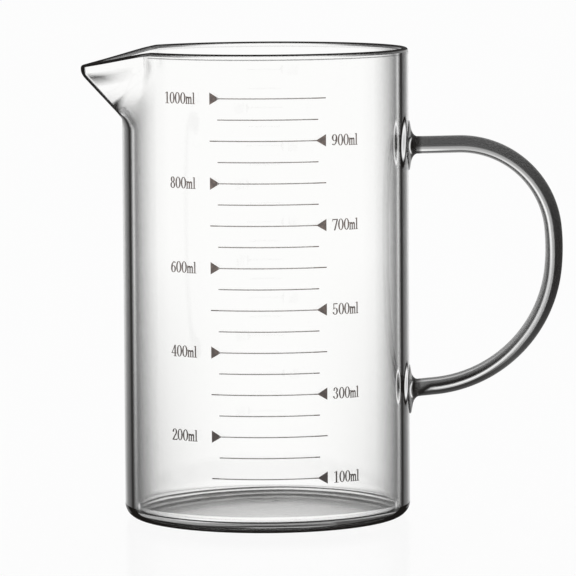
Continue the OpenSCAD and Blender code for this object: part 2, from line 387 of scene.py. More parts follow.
# a bowl is an oval band (centre, half sizes, from angle, by angle), a stroke is a slanted box
# (from x, z, to x, z, across x, z)
signs = {
    "0": [("bowl", 0.25, 0.5, 0.225, 0.5, 0, 360)],
    "1": [("stroke", 0.21, 0.02, 0.21, 1, thick, 0), ("stroke", 0.08, 0.84, 0.23, 0.95, 0, thin),
          ("stroke", 0.09, 0, 0.45, 0, 0, thin)],
    "2": [("bowl", 0.25, 0.73, 0.2, 0.27, 165, -195), ("stroke", 0.33, 0.62, 0.03, 0.04, thick, 0),
          ("stroke", 0.03, 0, 0.44, 0, 0, 0.085), ("stroke", 0.42, 0, 0.45, 0.19, 0.045, 0),
          ("stroke", 0.05, 0.7, 0.05, 0.8, 0.11, 0)],
    "3": [("bowl", 0.23, 0.76, 0.18, 0.24, 160, -250), ("bowl", 0.22, 0.275, 0.215, 0.275, 90, -255),
          ("stroke", 0.06, 0.72, 0.06, 0.82, 0.1, 0), ("stroke", 0.03, 0.14, 0.03, 0.24, 0.1, 0)],
    "4": [("stroke", 0.29, 0.02, 0.29, 1, thick * 0.95, 0), ("stroke", 0.01, 0.28, 0.3, 0.99, 0.055, 0),
          ("stroke", 0.01, 0.26, 0.48, 0.26, 0, 0.06), ("stroke", 0.2, 0, 0.48, 0, 0, thin)],
    "5": [("stroke", 0.09, 0.91, 0.42, 0.91, 0, 0.09), ("stroke", 0.09, 0.5, 0.09, 0.98, 0.05, 0),
          ("bowl", 0.225, 0.31, 0.215, 0.31, 145, -300), ("stroke", 0.03, 0.14, 0.03, 0.24, 0.1, 0)],
    "6": [("bowl", 0.25, 0.3, 0.215, 0.3, 0, 360), ("bowl", 0.42, 0.42, 0.385, 0.57, 195, -90),
          ("stroke", 0.34, 0.82, 0.34, 0.92, 0.1, 0)],
    "7": [("stroke", 0.04, 0.9, 0.47, 0.9, 0, 0.09), ("stroke", 0.03, 0.78, 0.045, 0.98, 0.045, 0),
          ("stroke", 0.39, 0.92, 0.17, 0, thick * 0.9, 0)],
    "8": [("bowl", 0.25, 0.755, 0.18, 0.245, 0, 360), ("bowl", 0.25, 0.275, 0.215, 0.275, 0, 360)],
    "9": [("bowl", 0.25, 0.7, 0.215, 0.3, 0, 360), ("bowl", 0.08, 0.58, 0.385, 0.57, 15, -90),
          ("stroke", 0.06, 0.08, 0.06, 0.18, 0.1, 0)],
    "m": [("stroke", 0.05, 0.02, 0.05, 0.62, 0.09, 0), ("stroke", 0.265, 0.02, 0.265, 0.5, 0.09, 0),
          ("stroke", 0.48, 0.02, 0.48, 0.5, 0.09, 0), ("bowl", 0.235, 0.48, 0.12, 0.16, 0, 180),
          ("bowl", 0.45, 0.48, 0.12, 0.16, 0, 180), ("stroke", 0, 0, 0.19, 0, 0, thin),
          ("stroke", 0.22, 0, 0.4, 0, 0, thin), ("stroke", 0.44, 0, 0.62, 0, 0, thin),
          ("stroke", 0, 0.58, 0.1, 0.61, 0, thin)],
    "l": [("stroke", 0.08, 0.02, 0.08, 1, 0.1, 0), ("stroke", 0, 0, 0.26, 0, 0, thin),
          ("stroke", 0, 0.92, 0.1, 0.96, 0, thin)],
}


def drawStroke(fromX, fromZ, toX, toZ, acrossX, acrossZ):
    startLine("stroke", fromX, fromZ)
    extrudeBy((toX - fromX, 0, toZ - fromZ))
    bpy.ops.mesh.select_all(action="SELECT")
    extrudeBy((acrossX, 0, acrossZ))
    bpy.ops.object.mode_set(mode="OBJECT")


def drawBowl(x, z, halfWidth, halfHeight, fromAngle, byAngle):
    startLine("bowl", x + halfHeight * math.cos(fromAngle * deg), z + halfHeight * math.sin(fromAngle * deg))
    drawArc(x, z, byAngle * deg, max(numerals["fewestSteps"], round(abs(byAngle) / numerals["arcStep"])))
    bpy.ops.mesh.select_all(action="SELECT")
    bpy.ops.transform.resize(value=(halfWidth / halfHeight, 1, 1), center_override=(x, 0, z))
    extrudeBy((0, 0, 0))
    bpy.ops.transform.resize(value=(1 - thick / halfWidth, 1, 1 - thin / halfHeight),
                             center_override=(x, 0, z))
    bpy.ops.object.mode_set(mode="OBJECT")


def drawSign(sign):
    parts = []
    for kind, *sizes in signs[sign]:
        (drawBowl if kind == "bowl" else drawStroke)(*sizes)
        parts.append(bpy.context.object)
    dropSelection()
    for part in parts:
        part.select_set(True)
    bpy.context.view_layer.objects.active = parts[0]
    if len(parts) > 1:
        bpy.ops.object.join()
    widening = numerals["widening"].get(sign, numerals["digitWidening"])
    bpy.ops.transform.resize(value=(widening, 1, 1), center_override=(0, 0, 0))
    applyPlace()
    return bpy.context.object


def printLabel(name, words, level, startAngle, endAngle):
    letters = []
    along = 0
    for sign in words:
        dropSelection()
        master = drawnSigns[sign]
        letter = master.copy()
        letter.data = master.data.copy()
        bpy.context.collection.objects.link(letter)
        letter.location.x = along
        letter.select_set(True)
        letters.append(letter)
        along += numerals["advance"].get(sign, numerals["digitAdvance"])
    inkEnd = along - numerals["endGap"]
    dropSelection()
    for letter in letters:
        letter.select_set(True)
    bpy.context.view_layer.objects.active = letters[0]
    bpy.ops.object.join()
    label = bpy.context.object
    label.name = name
    label.scale = (numerals["height"],) * 3
    applyPlace()
    bpy.ops.object.mode_set(mode="EDIT")
    bpy.ops.mesh.select_all(action="SELECT")
    extrudeBy((0, -numerals["print"] - numerals["sink"], 0))
    bpy.ops.mesh.select_all(action="SELECT")
    bpy.ops.mesh.normals_make_consistent(inside=False)
    bpy.ops.object.mode_set(mode="OBJECT")
    # wrap the flat print round the wall
    if endAngle is not None:
        startAngle = endAngle - inkEnd * numerals["height"] / body["radius"]
    for vertex in label.data.vertices:
        angle = startAngle + vertex.co.x / body["radius"]
        radius = body["radius"] - numerals["sink"] - vertex.co.y
        vertex.co = (radius * math.sin(angle), -radius * math.cos(angle), level + vertex.co.z)
    return label


print("numerals: drawing the signs")
drawnSigns = {sign: drawSign(sign) for sign in signs}
labels = []
for hundreds in range(1, 11):
    volume = 100 * hundreds
    low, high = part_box("scale_mark_%d_ml" % volume)
    level = (low[2] + high[2]) / 2 - numerals["height"] / 2
    endAngle = numerals["leftEnd"] if hundreds % 2 == 0 else None
    labels.append(printLabel("numeral_%d_ml" % volume, "%dml" % volume, level,
                             numerals["rightStart"], endAngle))
dropSelection()
for master in drawnSigns.values():
    master.select_set(True)
bpy.ops.object.delete()
print("numerals:", len(labels), "labels wrapped round the wall")


# a socket in a sum: the operators add the Math nodes
class Wire:
    def __init__(self, finish, socket):
        self.finish, self.socket = finish, socket

    def maths(self, operation, first, second):
        node = self.finish.node("ShaderNodeMath", {"operation": operation}, [first, second])
        return Wire(self.finish, node.outputs[0])

    def __add__(self, other):
        return self.maths("ADD", self, other)

    def __radd__(self, other):
        return self.maths("ADD", other, self)

    def __sub__(self, other):
        return self.maths("SUBTRACT", self, other)

    def __rsub__(self, other):
        return self.maths("SUBTRACT", other, self)

    def __mul__(self, other):
        return self.maths("MULTIPLY", self, other)

    def __rmul__(self, other):
        return self.maths("MULTIPLY", other, self)

    def __truediv__(self, other):
        return self.maths("DIVIDE", self, other)

    def __pow__(self, other):
        return self.maths("POWER", self, other)

    def __rpow__(self, other):
        return self.maths("POWER", other, self)

    def __lt__(self, other):
        return self.maths("LESS_THAN", self, other)

    def __gt__(self, other):
        return self.maths("GREATER_THAN", self, other)

    def smaller(self, other):
        return self.maths("MINIMUM", self, other)

    def larger(self, other):
        return self.maths("MAXIMUM", self, other)

    def size(self):
        return self.maths("ABSOLUTE", self, 0.0)

    def between(self, low, high):
        node = self.finish.node("ShaderNodeMapRange", {"clamp": True}, [self, low, high, 0.0, 1.0])
        return Wire(self.finish, node.outputs[0])


class Finish:
    def __init__(self, name):
        self.material = bpy.data.materials.new(name)
        self.material.use_nodes = True
        self.tree = self.material.node_tree
        self.shader = self.tree.nodes["Principled BSDF"]
        self.output = self.tree.nodes["Material Output"]

    # a node by its type, its settings, and the values or links of its sockets by place or name
    def node(self, kind, settings=None, sockets=()):
        node = self.tree.nodes.new(kind)
        for key, value in (settings or {}).items():
            if key == "stops":
                points = node.color_ramp.elements
                while len(points) < len(value):
                    points.new(0.5)
                for point, (at, tone) in zip(points, value):
                    point.position = at
                    point.color = (tone, tone, tone, 1)
            else:
                setattr(node, key, value)
        pairs = sockets.items() if isinstance(sockets, dict) else enumerate(sockets)
        for key, value in pairs:
            self.feed(node.inputs[key], value)
        return node

    def feed(self, socket, value):
        if isinstance(value, Wire):
            self.tree.links.new(value.socket, socket)
        else:
            socket.default_value = value

    def wire(self, node, output=0):
        return Wire(self, node.outputs[output])

    def place(self):
        coords = self.node("ShaderNodeTexCoord")
        split = self.node("ShaderNodeSeparateXYZ", sockets=[self.wire(coords, "Object")])
        return [self.wire(split, axis) for axis in "XYZ"]

    def facing(self, normal=None):
        sockets = [glass["evenBlend"]] if normal is None else [glass["evenBlend"], normal]
        return self.wire(self.node("ShaderNodeLayerWeight", sockets=sockets), "Facing")

    def front(self):
        return 1 - self.wire(self.node("ShaderNodeNewGeometry"), "Backfacing")

    def attribute(self, name):
        return self.wire(self.node("ShaderNodeAttribute", {"attribute_name": name}), "Fac")

    def vectors(self, operation, sockets, output="Vector"):
        return self.wire(self.node("ShaderNodeVectorMath", {"operation": operation}, sockets), output)

    def mixed(self, factor, first, second, blend="MIX"):
        mix = self.node("ShaderNodeMix", {"data_type": "RGBA", "blend_type": blend})
        self.feed(mix.inputs["Factor"], factor)
        self.feed(mix.inputs[6], first)     # the colour sockets
        self.feed(mix.inputs[7], second)
        return self.wire(mix, 2)

    def ramp(self, value, stops):
        return self.wire(self.node("ShaderNodeValToRGB", {"stops": stops}, [value]))


def sRgb(*values):
    return tuple(((value / 255 + 0.055) / 1.055) ** 2.4 for value in values) + (1,)


glass = {
    "ior": 1.47,
    "specularLevel": 0.22,
    "tint": (1.0, 1.0, 0.995, 1),
    # painted shade and painted highlight: the dark and the white diffuse mixed over the glass
    "shadow": (0.011, 0.0098, 0.009, 1),
    "paintedHighlight": (0.95, 0.95, 0.95, 1),
    "waveScale": (40, 40, 9),
    "waveHeight": 0.02 * mm,
    "evenBlend": 0.5,          # here Layer Weight reads the plain turn
    "greyBelow": 95 * mm,      # painted shade: the wall greys towards its foot and its edges, on the right a little less
    "greyShare": 1.6,
    "greyPower": 1.5,
    "greyRight": 0.28,
    # painted shade: what each face lets through by how far it turns away from the eye, darkening the glass
    # towards its edges
    "levelShare": 0.9954,      # evens out the photograph's small look down
    "levelLeast": 0.01,
    "wall": [(0, 1), (0.345, 0.99), (0.38, 0.91), (0.415, 0.85), (0.457, 0.68), (0.499, 0.53), (0.511, 0.43),
             (0.524, 0.356), (0.537, 0.268), (0.549, 0.184), (0.561, 0.126), (0.574, 0.075), (0.587, 0.12),
             (0.6, 0.31), (0.614, 0.6), (0.628, 0.55), (0.642, 0.2), (0.655, 0.02), (0.67, 0), (0.691, 0),
             (0.713, 0.005), (0.738, 0.012), (0.765, 0.03), (0.796, 0.066), (0.833, 0.16),
             (0.882, 0.41), (1, 1)],
    # painted shade along the wall's edges, mixed in as the dark diffuse
    "wallShade": [(0.62, 0), (0.65, 0.5), (0.67, 0.87), (0.695, 0.87), (0.715, 0.6), (0.74, 0.5), (0.77, 0.42),
                 (0.8, 0.33), (0.84, 0.15), (0.88, 0)],
    "bore": [(0, 1), (0.3, 1), (0.4, 0.9), (0.5, 0.64), (0.6, 0.39), (0.7, 0.31), (0.77, 0.36), (0.9, 0.4),
             (1, 0.36)],
    # painted shade: dark lines and greys of the thick floor seen flat, by rows from its back edge
    "floorOval": {"x": 6 * mm, "left": 49.5 * mm, "right": 40.5 * mm, "depth": 39.5 * mm, "power": 1.7,
                  "row": 2.63 * mm, "rows": 34, "lead": 0.9},
    "floorShade": [(0, 0), (0.012, 0.6), (0.03, 0.94), (0.055, 0.94), (0.08, 0.4), (0.1, 0.02),
                  (0.127, 0.25), (0.155, 0.9), (0.195, 0.96), (0.232, 0.76), (0.268, 0.5), (0.3, 0.92),
                  (0.344, 0.94), (0.39, 0.66), (0.441, 0.78), (0.515, 0.68), (0.603, 0.5), (0.75, 0.42),
                  (0.868, 0.36), (0.94, 0.1), (1, 0.05)],
    "floorFlat": (0.75, 0.8),   # how flat it must be seen
    "floorRoom": 0.2 * mm,
    # painted highlight in the corner between wall and floor: its turn and its height, each with a width
    "cornerTurn": (0.575, 0.018),
    "cornerHeight": (6.4 * mm, 1.2 * mm),
    "cornerLight": 0.5,
    # painted shade by height on the heel, in shares of its radius
    "heelShade": [(0, 0.3), (0.12, 0.45), (0.18, 0.7), (0.23, 0.94), (0.28, 0.9), (0.34, 0.6), (0.39, 0.06),
                 (0.45, 0.1), (0.5, 0.6), (0.55, 0.97), (0.62, 0.95), (0.67, 0.75), (0.72, 0.66), (0.78, 0.8),
                 (0.84, 0.6), (0.92, 0.25), (1, 0)],
    "heelLeft": (4 * mm, 24 * mm),      # over this stretch the lines sink on the left
    "heelSink": 0.14,
    "heelEdge": (0.15, 0.4),            # one dark run where it turns away
    "heelEdgeDark": (0.95, 0.33),       # low on it, and what it loses above
    "heelEdgeHeight": (0.5, 0.62),
    "heelRight": (12 * mm, 24 * mm),    # one dark run on the right too
    "heelRightHeight": (0.7, 0.84),
    "heelRightDark": 0.92,
    # painted shade: what the lip lets through by how far it turns away from the eye
    "lip": [(0, 1), (0.1, 0.9), (0.22, 0.12), (0.35, 0.01), (0.6, 0.0), (1, 0.0)],
    "lipShade": [(0.46, 0), (0.66, 0.93), (1, 0.95)],   # painted shade by height on the lip
    "lipFrom": 0.04,
    "lipNear": (0.02, 0.15),            # the spout turns its near lip away, and its far lip near the tip
    "lipFar": (0.6, 0.9),
    "lipTurn": 0.35,
    "lipNearDark": (0.01, 0.08),
    "lipNearShift": 0.6,
    "lipFarShift": 0.55,
    "lipLeft": (30 * mm, 42 * mm),      # over this stretch the far dark line gets thinner
    "lipThinning": 0.25,
    "lipAbove": (0.3, 0.8),             # clearer when it is seen from above
    "lipClearing": 0.75,
    # painted shade: thin dark lines under the rim, by the distances under its bend, outside and in the bore
    "beadLine": (0.75 * mm, 0.35 * mm),
    "beadLeft": -0.8,                   # share of the radius where it starts
    "beadDepth": 0.85,
    "innerLine": (0.55 * mm, 0.1 * mm),
    "innerDepth": 0.3,
    # the painted shade lines of the wall run out to the edge at the spout's root, and the pulled glass is
    # clear
    "bendStart": (135.5 * mm, 142.8 * mm),
    "bendSide": (25 * mm, 40 * mm),
    "bendClear": (143 * mm, 148 * mm),
    "bendPower": 1.6,
    "bendAt": 0.5,
    "bendDrop": 0.22,
    "flank": (0.0005, 0.02),   # how far out the glass is by then, as a share of the spout's reach
}


def glassShader(finish, tone):
    shader = finish.shader
    shader.inputs["IOR"].default_value = glass["ior"]
    shader.inputs["Transmission Weight"].default_value = 1
    shader.inputs["Roughness"].default_value = 0
    shader.inputs["Specular IOR Level"].default_value = glass["specularLevel"]
    # the tone is painted shade on what the front faces let through
    through = 1 - finish.front() * (1 - tone)
    finish.feed(shader.inputs["Base Color"], finish.mixed(1.0, through, glass["tint"], "MULTIPLY"))
    coords = finish.node("ShaderNodeTexCoord")
    mapping = finish.node("ShaderNodeMapping", sockets={"Vector": finish.wire(coords, "Object"),
                                                        "Scale": glass["waveScale"]})
    noise = finish.node("ShaderNodeTexNoise", sockets={"Vector": finish.wire(mapping), "Scale": 1.0,
                                                       "Detail": 1.0})
    bump = finish.node("ShaderNodeBump", sockets={"Strength": 1.0, "Distance": glass["waveHeight"],
                                                  "Height": finish.wire(noise)})
    finish.feed(shader.inputs["Normal"], finish.wire(bump))


# painted shade where the edge hides the light, a painted highlight where a curve catches it, and clear at a
# weld, where one glass runs on into the other
def finishGlass(finish, shadeShare, highlightShare, weld):
    shadow = finish.node("ShaderNodeBsdfDiffuse")
    shadow.inputs["Color"].default_value = glass["shadow"]
    edge = finish.node("ShaderNodeMixShader", sockets=[shadeShare, Wire(finish, finish.shader.outputs[0]),
                                                       finish.wire(shadow)])
    paintedHighlight = finish.node("ShaderNodeBsdfDiffuse")
    paintedHighlight.inputs["Color"].default_value = glass["paintedHighlight"]
    lit = finish.node("ShaderNodeMixShader", sockets=[highlightShare, finish.wire(edge), finish.wire(paintedHighlight)])
    clear = finish.node("ShaderNodeBsdfTransparent")
    mix = finish.node("ShaderNodeMixShader", sockets=[weld, finish.wire(lit), finish.wire(clear)])
    finish.feed(finish.output.inputs["Surface"], finish.wire(mix))


# a line of light or dark round a value, soft at both sides
def bell(away):
    return math.e ** (0 - away * away)


def lineAt(value, at, width):
    return bell((value - at) / width)


print("glass: the body")
bodyFinish = Finish("body_glass")
x, y, z = bodyFinish.place()
radial = (x * x + y * y) ** 0.5
facing = bodyFinish.facing()
# the turn of the wall alone, also when it is seen from above
upward = bodyFinish.wire(bodyFinish.node("ShaderNodeCombineXYZ", sockets=[0.0, 0.0, 1.0]))
fromAbove = 1 - bodyFinish.facing(upward)
levelled = (1 - fromAbove * fromAbove).larger(glass["levelLeast"]) ** 0.5
turned = (1 - (1 - facing) / levelled * glass["levelShare"]).between(0.0, 1.0)
front = bodyFinish.front()
boreShare, lipShare, pulled = [bodyFinish.attribute(name) for name in ("bore", "lip", "pulled")]
onBore, onLip = boreShare > 0.5, lipShare > glass["lipFrom"]
nearSide, farSide = y < 0.0, y > 0.0
flank = pulled.between(*glass["flank"])
bend = z.between(*glass["bendStart"]) ** glass["bendPower"] * (0 - x).between(*glass["bendSide"])
pivot = glass["bendAt"] - glass["bendDrop"] * z.between(*glass["bendClear"]) * flank
shifted = turned - (turned - pivot).larger(0.0) * bend

# what the glass lets through: painted shade by the turn of each face, greyer towards the foot and the edges
lowShare = 1 - z.between(0.0, glass["greyBelow"])
rightShare = 1 - (x > 0.0) * glass["greyRight"]
footShade = 1 - glass["greyShare"] * lowShare * turned ** glass["greyPower"] * rightShare
onHeel = z < body["heelRadius"]
wallTone = bodyFinish.ramp(shifted, glass["wall"]) * footShade * footShade
outerTone = onHeel + (1 - onHeel) * wallTone
lineFoot, lineTop = glass["beadLine"]
beadLine = (z > lipStart - lineFoot) * (z < lipStart - lineTop) * (x > glass["beadLeft"] * body["radius"])
outerTone = outerTone * (1 - beadLine * glass["beadDepth"])
onFloor = (z < filletHeight + glass["floorRoom"]) * (radial < floorEdge)
boreTone = onFloor + (1 - onFloor) * bodyFinish.ramp(shifted, glass["bore"])
lineFoot, lineTop = glass["innerLine"]
innerLine = (z > lipStart - lineFoot) * (z < lipStart - lineTop) * farSide
boreTone = boreTone * (1 - innerLine * glass["innerDepth"])
lipFacing = facing + nearSide * pulled.between(*glass["lipNear"]) * glass["lipTurn"] \
    + farSide * pulled.between(*glass["lipFar"]) * glass["lipTurn"]
lipTone = bodyFinish.ramp(lipFacing, glass["lip"])
tone = onLip * lipTone + (1 - onLip) * (onBore * boreTone + (1 - onBore) * outerTone)
glassShader(bodyFinish, tone)
padRadius = handle["padRadius"] - handle["padRoom"]
upperPad = (y * y + (z - topWeld.z) ** 2) ** 0.5 < padRadius
lowerPad = (y * y + (z - lowWeld.z) ** 2) ** 0.5 < padRadius
weld = (radial > body["radius"] - lipRadius) * (x > 0) * (upperPad + lowerPad)

# painted shade where thick or bent glass looks dark: along the spout's ridge, in a streak from the tip into
# the flank, in a wedge over the root and in a line under it
spoutShading = {
    "ridge": (1.4 * mm, 1.95 * mm),      # solid dark, and gone, this far from the ridge
    "ridgeDepth": 0.97,
    "rootFade": (0.3 * mm, 1.2 * mm),    # it starts this far over the root
    "gap": (1.9 * mm, 2.5 * mm),         # clear glass between the ridge and the streak
    "streakStart": (-61.7 * mm, 153.2 * mm),
    "streakRise": 0.1,
    "streakCurve": 7.3,                  # per metre
    "streakAbove": 1.8 * mm,
    "streakBelow": 3.6 * mm,
    "streakFade": (-56 * mm, -44.3 * mm),
    "streakDepth": 0.86,
    "wedgeCorner": (-49.4 * mm, 140.66 * mm),
    "wedgeCurve": 53,                    # per metre
    "wedgeTop": (-53.1 * mm, 144.7 * mm),
    "wedgeTopSoft": 1.5 * mm,
    "wedgeSlope": 0.82,
    "wedgeSoft": (1.2 * mm, 0.35),       # width of its right edge at the corner, and per height over it
    "wedgeFade": (145.2 * mm, 150 * mm),
    "wedgeFaded": 0.85,
    "wedgeDepth": 0.95,
    "turnedBy": (0.46, 0.57),            # clear glass where the flank faces the eye, less so at the tip
    "tipRange": (148 * mm, 153 * mm),
    "tipShift": 0.12,
    "rootLine": (0.61, 0.035),
    "rootBend": (0.0, 0.2),
    "rootDepth": 0.65,
}
outside = front * (1 - onBore) * (1 - onLip)
fromRidge = x + body["radius"] + spout["reach"] * z.between(rootHeight, faceHeight)
aboveRoot = z.between(*[rootHeight + height for height in spoutShading["rootFade"]])
ridgeShade = (1 - fromRidge.between(*spoutShading["ridge"])) * aboveRoot * spoutShading["ridgeDepth"]
along = x - spoutShading["streakStart"][0]
under = spoutShading["streakStart"][1] + along * spoutShading["streakRise"] \
    + along * along * spoutShading["streakCurve"] - z
streak = (1 - under / spoutShading["streakBelow"]).smaller(1 + under / spoutShading["streakAbove"])
streak = streak.between(0.0, 1.0) * fromRidge.between(*spoutShading["gap"]) \
    * (1 - x.between(*spoutShading["streakFade"]))
overCorner = z - spoutShading["wedgeCorner"][1]
rightEdge = spoutShading["wedgeCorner"][0] + overCorner * overCorner * spoutShading["wedgeCurve"]
topEdge = spoutShading["wedgeTop"][1] + (x - spoutShading["wedgeTop"][0]) * spoutShading["wedgeSlope"]
softEdge = overCorner.larger(0.0) * spoutShading["wedgeSoft"][1] + spoutShading["wedgeSoft"][0]
wedge = ((rightEdge - x) / softEdge).smaller((topEdge - z) / spoutShading["wedgeTopSoft"]).between(0.0, 1.0)
wedge = wedge * aboveRoot * (1 - z.between(*spoutShading["wedgeFade"]) * spoutShading["wedgeFaded"])
spoutShade = ridgeShade.larger(streak * spoutShading["streakDepth"]).larger(wedge * spoutShading["wedgeDepth"])
atTip = z.between(*spoutShading["tipRange"])
spoutShade = spoutShade * (facing + atTip * spoutShading["tipShift"]).between(*spoutShading["turnedBy"])
rootLine = lineAt(shifted, *spoutShading["rootLine"]) * bend.between(*spoutShading["rootBend"]) * (1 - flank)
spoutShade = spoutShade.larger(rootLine * spoutShading["rootDepth"])

# painted shade on the heel: lines by height, which close into one dark run at the sides
heelShare = z / body["heelRadius"]
heelLines = heelShare + (0 - x).between(*glass["heelLeft"]) * glass["heelSink"]
roundSide = turned.between(*glass["heelEdge"])
edgeRun, edgeLoss = glass["heelEdgeDark"]
heelShade = bodyFinish.ramp(heelLines, glass["heelShade"]) * (1 - roundSide) \
    + roundSide * (edgeRun - heelShare.between(*glass["heelEdgeHeight"]) * edgeLoss)
rightRun = x.between(*glass["heelRight"]) * (1 - heelShare.between(*glass["heelRightHeight"]))
heelShade = heelShade.larger(rightRun * glass["heelRightDark"])
edgeShade = bodyFinish.ramp(shifted, glass["wallShade"]) + heelShade * onHeel

# painted shade on the lip, with a thinner dark line at the back of the spout
nearShift = pulled.between(*glass["lipNearDark"]) * glass["lipNearShift"]
farShift = pulled.between(*glass["lipFar"]) * glass["lipFarShift"] \
    - (0 - x).between(*glass["lipLeft"]) * glass["lipThinning"]
lipTurn = lipShare + nearSide * nearShift + farSide * farShift
seenFlat = 1 - fromAbove.between(*glass["lipAbove"]) * glass["lipClearing"]
lipShade = bodyFinish.ramp(lipTurn, glass["lipShade"]) * front * onLip * seenFlat

# painted shade lines on the floor, and a painted highlight in the corner by it
floorOval = glass["floorOval"]
halfLength = floorOval["right"] + (x < floorOval["x"]) * (floorOval["left"] - floorOval["right"])
sideways = ((x - floorOval["x"]).size() / halfLength) ** floorOval["power"]
backEdge = (1 - sideways).larger(0.0) ** (1 / floorOval["power"]) * floorOval["depth"]
floorRows = ((backEdge - y) / floorOval["row"] + floorOval["lead"]) / floorOval["rows"]
floorShade = bodyFinish.ramp(floorRows, glass["floorShade"]) * facing.between(*glass["floorFlat"]) \
    * onFloor * onBore * front
cornerGlint = lineAt(turned, *glass["cornerTurn"]) * lineAt(z, *glass["cornerHeight"]) * glass["cornerLight"]

# painted highlight and shade at the welds seen through the edge of the wall: a leaf of light, a thin ring,
# and painted shade round them
weldShading = {
    # each oval: its middle's distance from the jug's middle plane, half its width and half its height
    "upper": {"rise": 2.1 * mm, "leaf": (13.9 * mm, 3.3 * mm, 7.5 * mm),
              "ring": (21.4 * mm, 1.8 * mm, 7.7 * mm)},
    "lower": {"rise": 3.1 * mm, "leaf": (11.7 * mm, 3.2 * mm, 6.4 * mm),
              "ring": (20.5 * mm, 1.8 * mm, 6.2 * mm)},
    "lean": 0.14,
    "turned": (0.42, 0.55),
    "leafEnd": (0.72, 0.9),              # in shares of an oval's half size
    "leafGlow": (0.3, 0.65),
    "leafLight": (0.6, 0.35),            # in its middle, and what its edge has more
    "leafShadow": (1.05, 0.13),
    "leafDark": 0.7,
    "ringLine": (0.88, 0.13),
    "ringLight": 0.85,
    "ringHole": (0.25, 0.55),
    "ringDark": 0.75,
}


def oval(height, lean, middle, halfWidth, halfHeight):
    up = (z - height) / halfHeight
    across = (y.size() + (z - height) * lean - middle) / halfWidth
    return (up * up + across * across) ** 0.5


weldHighlight = 0
weldShade = 0
leafMiddle, leafMore = weldShading["leafLight"]
for name, height in (("upper", topWeld.z), ("lower", lowWeld.z)):
    ovals = weldShading[name]
    leaf = oval(height + ovals["rise"], weldShading["lean"], *ovals["leaf"])
    ring = oval(height + ovals["rise"], 0.0, *ovals["ring"])
    leafLight = (1 - leaf.between(*weldShading["leafEnd"])) \
        * (leafMiddle + leafMore * leaf.between(*weldShading["leafGlow"]))
    weldHighlight = leafLight + lineAt(ring, *weldShading["ringLine"]) * weldShading["ringLight"] + weldHighlight
    weldShade = lineAt(leaf, *weldShading["leafShadow"]) * weldShading["leafDark"] \
        + (1 - ring.between(*weldShading["ringHole"])) * weldShading["ringDark"] + weldShade
edgeOn = turned.between(*weldShading["turned"]) * (x > 0.0)
# all the painted shade of the body together
edgeShade = (edgeShade + weldShade * edgeOn).smaller(1.0).larger(spoutShade) * outside + lipShade + floorShade
# painted highlights at the welds and in the corner
paintedHighlight = (edgeOn * weldHighlight + cornerGlint) * outside
finishGlass(bodyFinish, edgeShade.smaller(1.0), paintedHighlight.between(0.0, 1.0), weld)
vessel.data.materials.append(bodyFinish.material)

print("glass: the handle")
rodFinish = Finish("handle_glass")
rodLight = {
    # painted shade: what its outer and inner side let through, by how far they turn away from the eye
    "outer": [(0, 0.9), (0.006, 0.62), (0.012, 0.3), (0.03, 0.14), (0.06, 0.12), (0.09, 0.006),
              (0.15, 0.003), (1, 0.003)],
    "inner": [(0, 0.9), (0.004, 0.3), (0.01, 0.02), (0.03, 0.0005), (0.05, 0.006), (0.09, 0.011),
              (0.18, 0.035), (0.36, 0.07), (1, 0.1)],
    "centre": Vector((60, 0, 88)) * mm,   # middle of the handle's bow
    "levelOff": 52 * mm,                  # height where the painted bright line runs down the middle
    "leanPerHeight": 8.7,                 # how fast it moves to the inner side above that
    "lowRun": 60 * mm,                    # below this it moves to the outer side
    "lowLean": 0.23,
    "neckLean": 0.6,                      # and dives to the rod's lower edge at the weld
    "neckRange": (51.5 * mm, 57 * mm),
    "halfHeight": 41 * mm,                # painted shade: the outer side is darkest at its middle
    "outerDark": 0.78,
    "outerFrom": 0.1,
    "lowEnd": (48 * mm, 62 * mm),         # painted shade: the low run is darker than the rest
    "lowEdge": (0.01, 0.025),
    "lowMiddle": (0.07, 0.17),
    "lowRunShade": (0.45, 0.45),              # all over, and what its middle has more
    "glint": (-0.76, 0.07),               # a painted highlight line on its inner side, by the turn to that side
    "glintLight": 0.46,
    "glintFrom": (2 * mm, 5 * mm),
    # the necks: painted shade with a painted bright crescent, by the distance from the wall
    "neckStart": (0.5 * mm, 0.9 * mm),
    "neckEnd": (3.4 * mm, 4.6 * mm),
    "neckDark": 0.78,
    "bowStart": 0.1 * mm,
    "bowCurve": 90,                       # per metre
    "bowWidth": 0.26 * mm,
    "bowEnd": (2.1 * mm, 3.0 * mm),
    "bowLight": 0.9,
    "lineTurn": (0.006, 0.02),            # the painted bright line runs on through the lower neck
    "lineStart": (1.4 * mm, 2.4 * mm),
    "seam": 0.005 * mm,
}
x, y, z = rodFinish.place()
centre = rodLight["centre"]
# the rod's normal is leaned to move its painted bright line and shade along it
away = rodFinish.wire(rodFinish.node("ShaderNodeCombineXYZ", sockets=[x - centre.x, 0.0, z - centre.z]))
outward = rodFinish.vectors("NORMALIZE", [away])
lowHalf = z < centre.z
lowLean = (1 - z.between(lowWeld.z, rodLight["lowRun"])) * rodLight["lowLean"] \
    + (1 - x.between(*rodLight["neckRange"])) * lowHalf * rodLight["neckLean"]
leanShare = (z - rodLight["levelOff"]) * rodLight["leanPerHeight"] - lowLean
lean = rodFinish.vectors("SCALE", {"Vector": outward, "Scale": leanShare})
rodNormal = rodFinish.wire(rodFinish.node("ShaderNodeNewGeometry"), "Normal")
leaned = rodFinish.vectors("NORMALIZE", [rodFinish.vectors("ADD", [rodNormal, lean])])
rodFacing = rodFinish.facing(leaned)
onOuterSide = rodFinish.vectors("DOT_PRODUCT", [leaned, outward], "Value") > 0
rodTone = onOuterSide * rodFinish.ramp(rodFacing, rodLight["outer"]) \
    + (1 - onOuterSide) * rodFinish.ramp(rodFacing, rodLight["inner"])
glassShader(rodFinish, rodTone)
